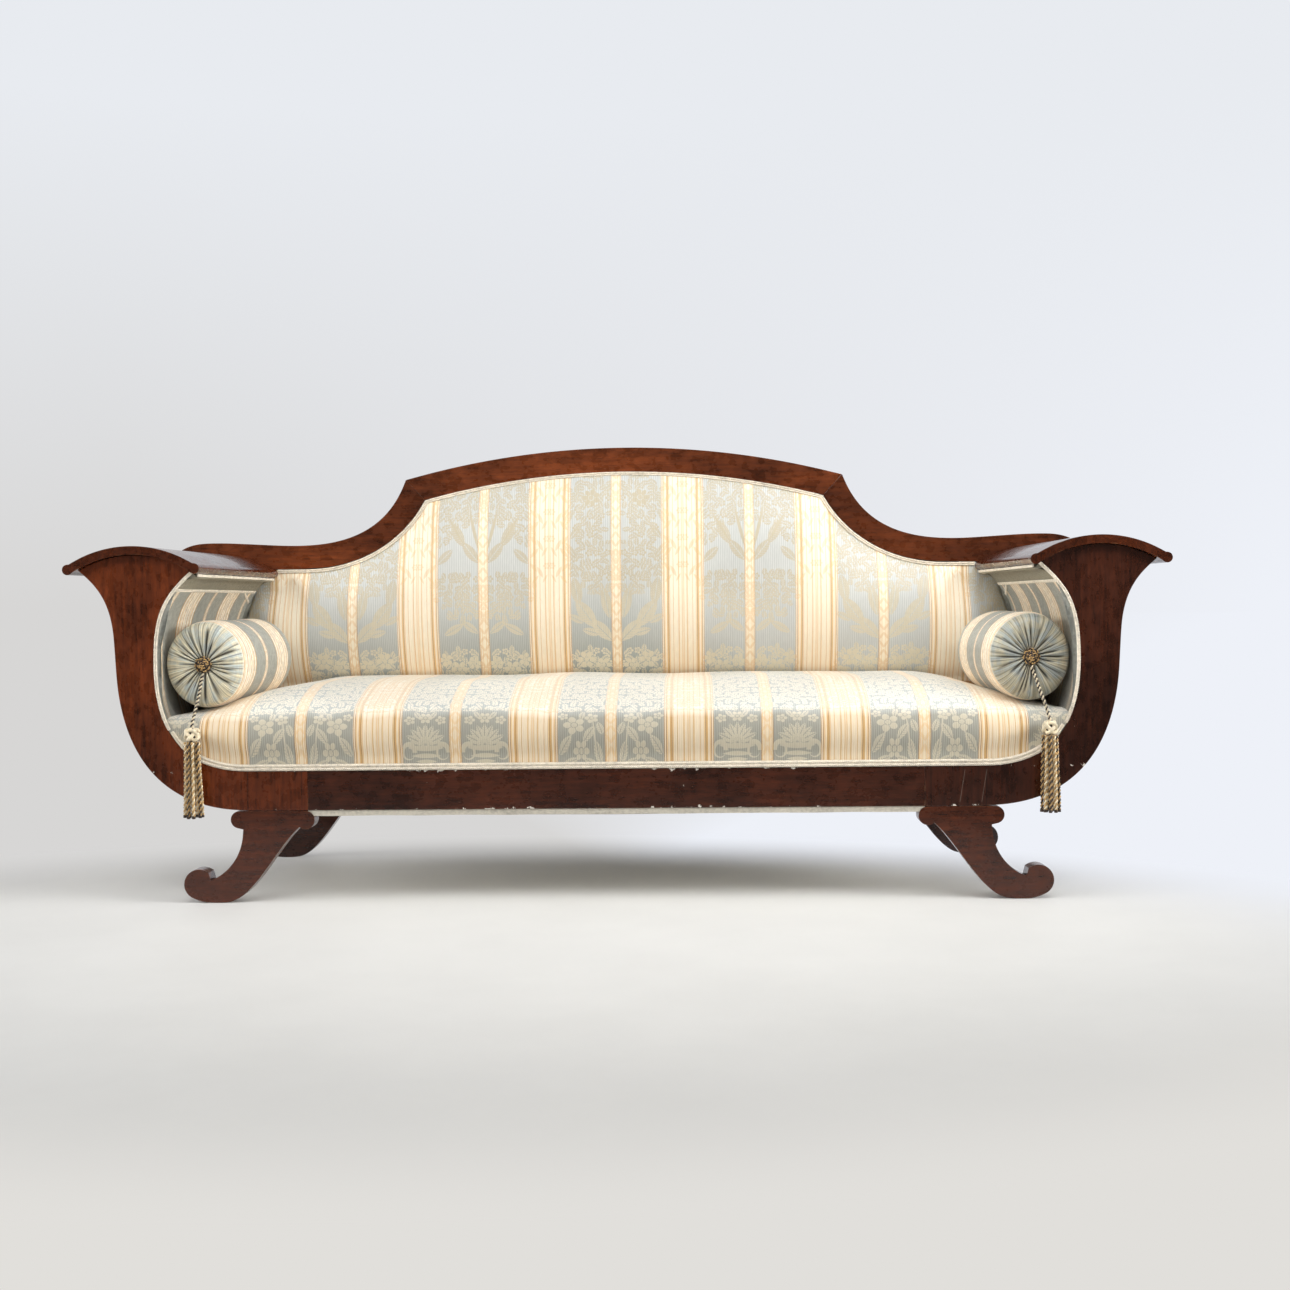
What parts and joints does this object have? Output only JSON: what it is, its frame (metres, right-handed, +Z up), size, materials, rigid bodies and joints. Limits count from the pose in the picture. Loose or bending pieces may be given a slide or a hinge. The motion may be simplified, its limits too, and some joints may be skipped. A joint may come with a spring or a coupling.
{
  "type": "sofa",
  "caption": "Scroll-armed sofa with an arched show-wood back, a sprung upholstered seat on splayed scroll legs, and loose tasselled bolsters at its ends.",
  "frame": {"origin": "on the floor under the middle of the sofa, halfway between the arm boards' front ends and the back cover", "axes": "+X to the right seen from the front, along the sofa; +Y from the front to the back; +Z up"},
  "size_m": [2.2998, 0.6949, 1.0045],
  "materials": {
    "mahogany": "French polished red-brown mahogany veneer",
    "beech": "plain sawn beech, unfinished",
    "damask": "woven silk damask with cream and blue-grey stripes",
    "braid": "cream woven gimp braid",
    "jute": "woven jute webbing and hessian",
    "lining": "plain woven linen",
    "tassel_silk": "twisted cream, gold and dark brown silk cord",
    "spring_steel": "drawn spring wire"
  },
  "bodies": {
    "frame": {"front_rail": "mahogany", "crest_rail": "mahogany", "left_arm_front": "mahogany", "left_arm_top": "mahogany", "left_back_post": "mahogany", "left_crest_shoulder": "mahogany", "left_front_leg": "mahogany", "left_rear_leg": "mahogany", "right_arm_front": "mahogany", "right_arm_top": "mahogany", "right_back_post": "mahogany", "right_crest_shoulder": "mahogany", "right_front_leg": "mahogany", "right_rear_leg": "mahogany", "back_seat_rail": "beech", "back_stay_rail": "beech", "seat_brace": "beech", "left_arm_upper_rail": "beech", "left_arm_lower_rail": "beech", "left_back_stile": "beech", "left_seat_end_rail": "beech", "left_rear_block": "beech", "right_arm_upper_rail": "beech", "right_arm_lower_rail": "beech", "right_back_stile": "beech", "right_seat_end_rail": "beech", "right_rear_block": "beech", "seat_cushion": "damask", "back_pad": "damask", "left_arm_pad": "damask", "left_under_arm_lining": "damask", "left_outside_arm_cover": "damask", "right_arm_pad": "damask", "right_under_arm_lining": "damask", "right_outside_arm_cover": "damask", "seat_gimp": "braid", "back_gimp": "braid", "left_arm_gimp": "braid", "left_arm_top_gimp": "braid", "right_arm_gimp": "braid", "right_arm_top_gimp": "braid", "seat_webbing": "jute", "seat_canvas": "jute", "back_webbing": "jute", "bottom_lining": "lining", "back_outer_cover": "lining", "seat_springs": "spring_steel"},
    "left_bolster": {"left_bolster": "damask", "left_front_rosette": "tassel_silk", "left_rear_rosette": "tassel_silk", "left_tassel_cord": "tassel_silk", "left_tassel_knot": "tassel_silk", "left_tassel": "tassel_silk"},
    "right_bolster": {"right_bolster": "damask", "right_front_rosette": "tassel_silk", "right_rear_rosette": "tassel_silk", "right_tassel_cord": "tassel_silk", "right_tassel_knot": "tassel_silk", "right_tassel": "tassel_silk"}
  },
  "joints": [
    {"name": "left_bolster_lift", "type": "slide", "parent": "frame", "child": "left_bolster", "axis": [0.6917, -0.2075, 0.6917], "range_m": [0, 0.6]},
    {"name": "right_bolster_lift", "type": "slide", "parent": "frame", "child": "right_bolster", "axis": [-0.6917, -0.2075, 0.6917], "range_m": [0, 0.6]}
  ]
}
